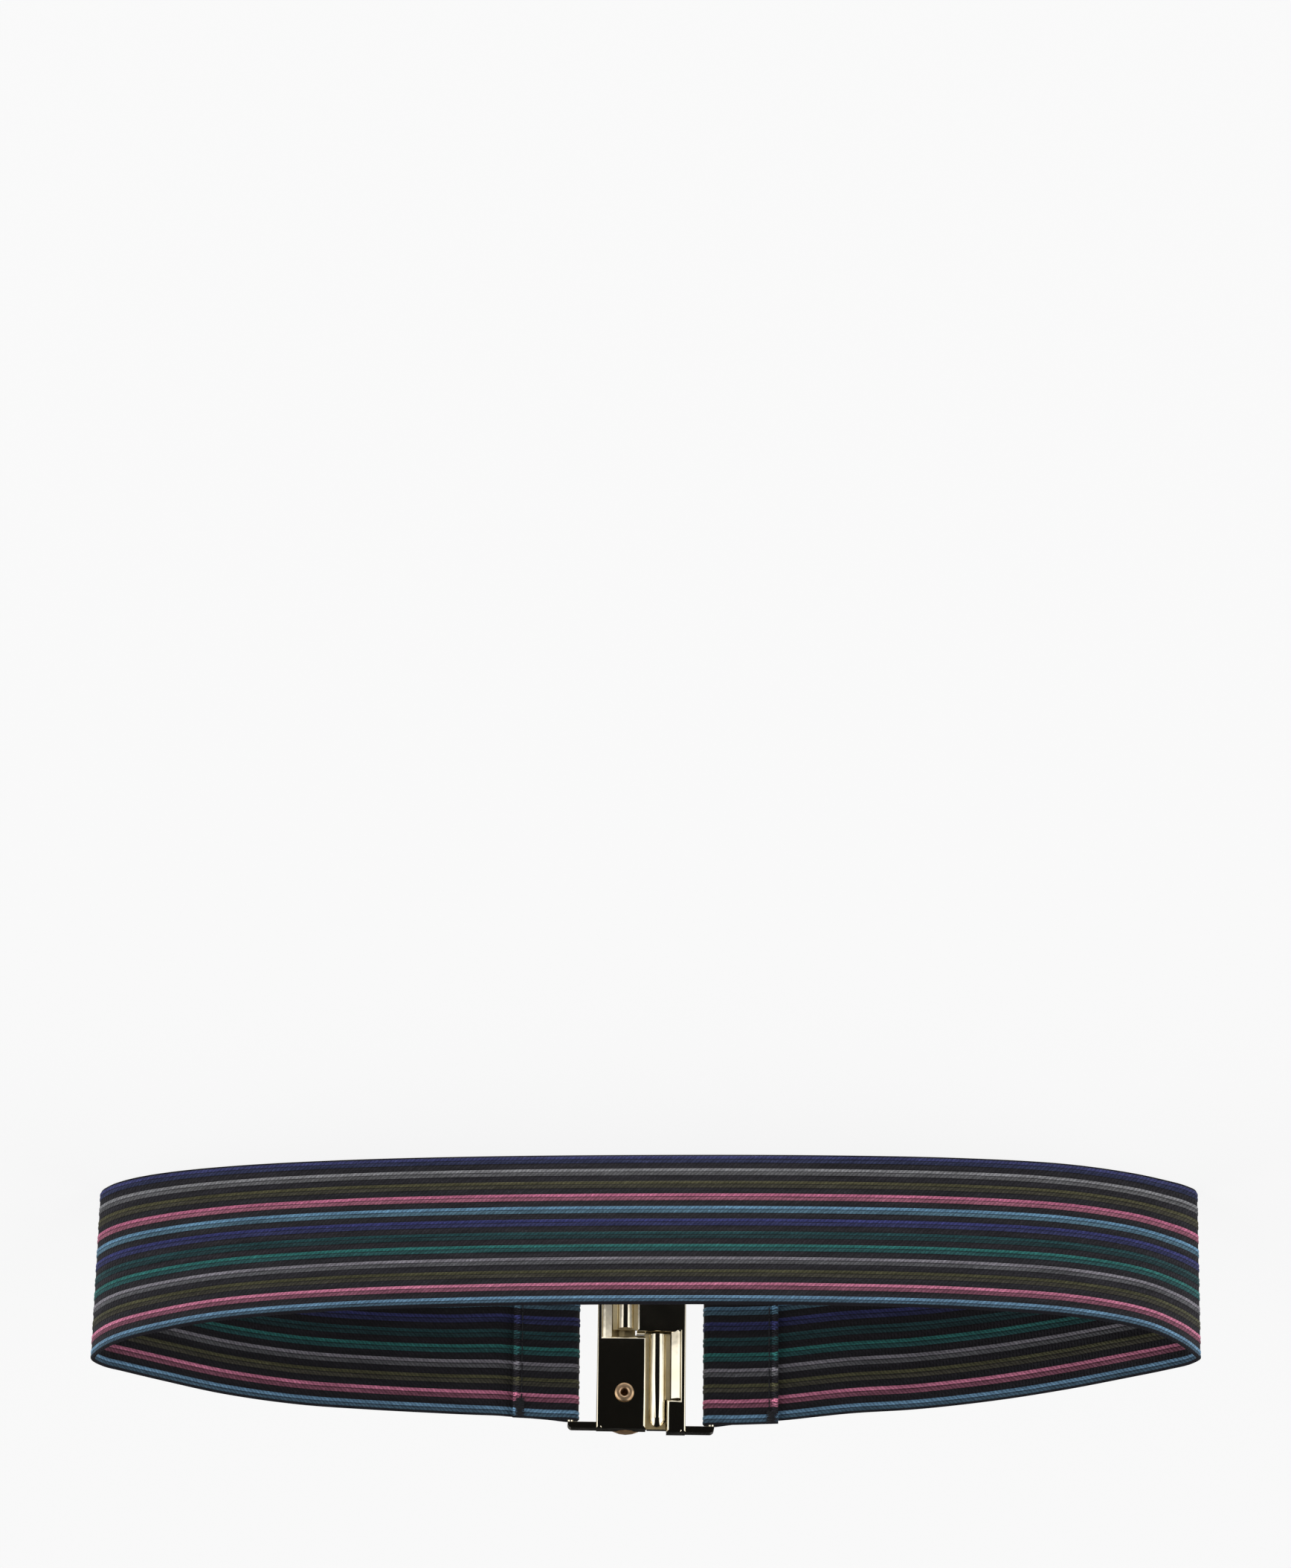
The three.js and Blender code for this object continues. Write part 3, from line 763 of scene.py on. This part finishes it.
def metalMaterial(name):
    # The castings are zinc under a thin pale gold plate, mirror-like with the slight waves of hand polishing
    # outside and satin in the pockets. The disc is brass, tumbled until it is matt and a little uneven.
    look = metalLook[name]
    material, tree = newMaterial(name)
    place = addNode(tree, "ShaderNodeTexCoord")
    waves = addNode(tree, "ShaderNodeTexNoise", {"Vector": place.outputs["Object"],
                                                 "Scale": 1 / (waveSize * mm), "Detail": 2.0})
    haze = addNode(tree, "ShaderNodeTexNoise", {"Vector": place.outputs["Object"],
                                                "Scale": 1 / (look["patch"] * mm), "Detail": 5.0})
    tone = addNode(tree, "ShaderNodeMapRange", {"Value": haze.outputs["Fac"], "From Min": 0.35,
                                                "From Max": 0.65})
    colourMix = addNode(tree, "ShaderNodeMix", {"Factor": tone.outputs[0], 6: linear(look["dull"]),
                                                7: linear(look["colour"])}, data_type="RGBA")
    rough = addNode(tree, "ShaderNodeMapRange", {
        "Value": haze.outputs["Fac"], "From Min": 0.3, "From Max": 0.7,
        "To Min": look["roughness"] * dullerBy, "To Max": look["roughness"]})
    bump = addNode(tree, "ShaderNodeBump", {"Height": waves.outputs["Fac"], "Distance": look["waves"] * mm,
                                            "Strength": 1.0})
    shader = addNode(tree, "ShaderNodeBsdfPrincipled", {
        "Base Color": colourMix.outputs[2],
        "Metallic": 1.0,
        "Roughness": rough.outputs[0],
        "Normal": bump.outputs[0],
    })
    addNode(tree, "ShaderNodeOutputMaterial", {"Surface": shader.outputs[0]})
    return material


goldPlate = metalMaterial("polishedPaleGoldPlate")
satinPlate = metalMaterial("satinPaleGoldPlate")
tumbledBrass = metalMaterial("tumbledBrass")
for side in ("left", "right"):
    softenedCopy(f"clasp_half_{side}", f"clasp_plate_{side}", (goldPlate, satinPlate), True)
softenedCopy("front_boss", "riveted_disc", (tumbledBrass,), False)
print("clasp: two plated castings and the disc")


# Studio, in metres: a pale floor with its own glow, so that it stays even, in a dark room with bright sides
# and two soft boxes
studio = {
    "floorMiddle": (0, -0.32),
    "floorSize": (4.0, 1.8),
    "floorDrop": 0.00003,
    "floorGlow": 0.86,
    # the floor as the polished metal mirrors it: bright at both sides and right under the clasp, dim inside
    # the loop as the loop's painted shadow, and dark far in front and far behind. Each pair is where a change
    # starts and ends.
    "sideGlow": 1.6,
    "middleGlow": 1.3,
    "loopShadowGlow": 0.25,
    "loopToSide": (0.15, 0.3),
    "middleToLoop": (0.025, 0.055),
    "darkToSide": (0.12, 0.3),
    "litToDark": (0.06, 0.16),
    "floorColour": "#585858",
    "backdrop": 0.93,
    "sideBright": 2.2,
    "middleDark": 0.007,
    "darkToBright": (0.42, 0.62),   # how far to the side a direction points where the walls turn bright
    "boxes": [
        {"place": (-1.3, 1.3, 0.7), "size": 1.0, "power": 5},
        {"place": (1.3, 1.3, 0.7), "size": 1.0, "power": 5},
    ],
}


def makeFloor():
    mesh = bmesh.new()
    bmesh.ops.create_grid(mesh, x_segments=1, y_segments=1, size=0.5)
    bmesh.ops.scale(mesh, verts=mesh.verts, vec=(*studio["floorSize"], 1))
    bmesh.ops.translate(mesh, verts=mesh.verts, vec=(*studio["floorMiddle"], -studio["floorDrop"]))
    data = bpy.data.meshes.new("studio_floor")
    mesh.to_mesh(data)
    mesh.free()
    floor = bpy.data.objects.new("studio_floor", data)
    bpy.context.scene.collection.objects.link(floor)
    material, tree = newMaterial("paleStudioFloor")
    place = addNode(tree, "ShaderNodeTexCoord")
    split = addNode(tree, "ShaderNodeSeparateXYZ", {0: place.outputs["Object"]})
    aside = addNode(tree, "ShaderNodeMath", {0: split.outputs[0]}, operation="ABSOLUTE")
    ahead = addNode(tree, "ShaderNodeMath", {0: split.outputs[1]}, operation="ABSOLUTE")
    changes = []
    for distance, span, start, end in (
            (aside, studio["loopToSide"], studio["loopShadowGlow"], studio["sideGlow"]),
            (aside, studio["middleToLoop"], studio["middleGlow"], studio["loopShadowGlow"]),
            (aside, studio["darkToSide"], 0.0, 1.0),
            (ahead, studio["litToDark"], 1.0, 0.0)):
        change = addNode(tree, "ShaderNodeMapRange", {
            "Value": distance.outputs[0], "From Min": span[0], "From Max": span[1],
            "To Min": start, "To Max": end}, interpolation_type="SMOOTHSTEP")
        changes.append(change.outputs[0])
    sides, middle, toSide, toHere = changes
    near = addNode(tree, "ShaderNodeMath", {0: sides, 1: middle}, operation="MAXIMUM")
    lit = addNode(tree, "ShaderNodeMath", {0: toSide, 1: toHere}, operation="MAXIMUM")
    mirrored = addNode(tree, "ShaderNodeMath", {0: near.outputs[0], 1: lit.outputs[0]}, operation="MULTIPLY")
    ray = addNode(tree, "ShaderNodeLightPath")
    glow = addNode(tree, "ShaderNodeMix", {"Factor": ray.outputs["Is Glossy Ray"], 2: studio["floorGlow"],
                                           3: mirrored.outputs[0]})
    shader = addNode(tree, "ShaderNodeBsdfPrincipled", {
        "Base Color": linear(studio["floorColour"]),
        "Roughness": 0.9,
        "Specular IOR Level": 0.0,
        "Emission Color": (1, 1, 1, 1),
        "Emission Strength": glow.outputs[0],
    })
    addNode(tree, "ShaderNodeOutputMaterial", {"Surface": shader.outputs[0]})
    data.materials.append(material)


def makeLights():
    world = bpy.data.worlds.new("studioSky")
    bpy.context.scene.world = world
    world.use_nodes = True
    world.node_tree.nodes.clear()
    # a dark room with bright walls at both sides, and the camera sees a backdrop as pale as the floor
    tree = world.node_tree
    direction = addNode(tree, "ShaderNodeTexCoord")
    split = addNode(tree, "ShaderNodeSeparateXYZ", {0: direction.outputs["Generated"]})
    aside = addNode(tree, "ShaderNodeMath", {0: split.outputs[0]}, operation="ABSOLUTE")
    level = addNode(tree, "ShaderNodeMapRange", {
        "Value": aside.outputs[0],
        "From Min": studio["darkToBright"][0], "From Max": studio["darkToBright"][1],
        "To Min": studio["middleDark"], "To Max": studio["sideBright"]}, interpolation_type="SMOOTHSTEP")
    ray = addNode(tree, "ShaderNodeLightPath")
    seen = addNode(tree, "ShaderNodeMix", {"Factor": ray.outputs["Is Camera Ray"], 2: level.outputs[0],
                                           3: studio["backdrop"]})
    sky = addNode(tree, "ShaderNodeBackground", {"Color": (1, 1, 1, 1), "Strength": seen.outputs[0]})
    addNode(tree, "ShaderNodeOutputWorld", {"Surface": sky.outputs[0]})
    for number, box in enumerate(studio["boxes"]):
        light = bpy.data.lights.new(f"softBox{number}", "AREA")
        light.size = box["size"]
        light.energy = box["power"]
        lamp = bpy.data.objects.new(f"softBox{number}", light)
        lamp.location = box["place"]
        lamp.rotation_euler = (-Vector(box["place"])).to_track_quat("-Z", "Y").to_euler()
        lamp.visible_glossy = False
        bpy.context.scene.collection.objects.link(lamp)


# The photograph's own angle, turned upside down because it shows the belt that way up
viewpoint = {
    "place": (-0.2, 1336.5, 706),
    "tilt": 32.014,     # degrees
    "lens": 128.85,
    "sensor": 36,
    "sees": 50,         # metres
}


def makeCamera():
    camera = bpy.data.cameras.new("camera")
    camera.sensor_width = viewpoint["sensor"]
    camera.sensor_height = viewpoint["sensor"]
    camera.lens = viewpoint["lens"]
    camera.clip_end = viewpoint["sees"]
    holder = bpy.data.objects.new("camera", camera)
    holder.location = Vector(viewpoint["place"]) * mm + toOrigin
    holder.rotation_euler = Euler((math.radians(viewpoint["tilt"] - 90), 0, 0))
    bpy.context.scene.collection.objects.link(holder)
    bpy.context.scene.camera = holder


makeFloor()
makeLights()
makeCamera()
bpy.context.scene.view_settings.view_transform = "Standard"
print("studio: floor, lights and camera")
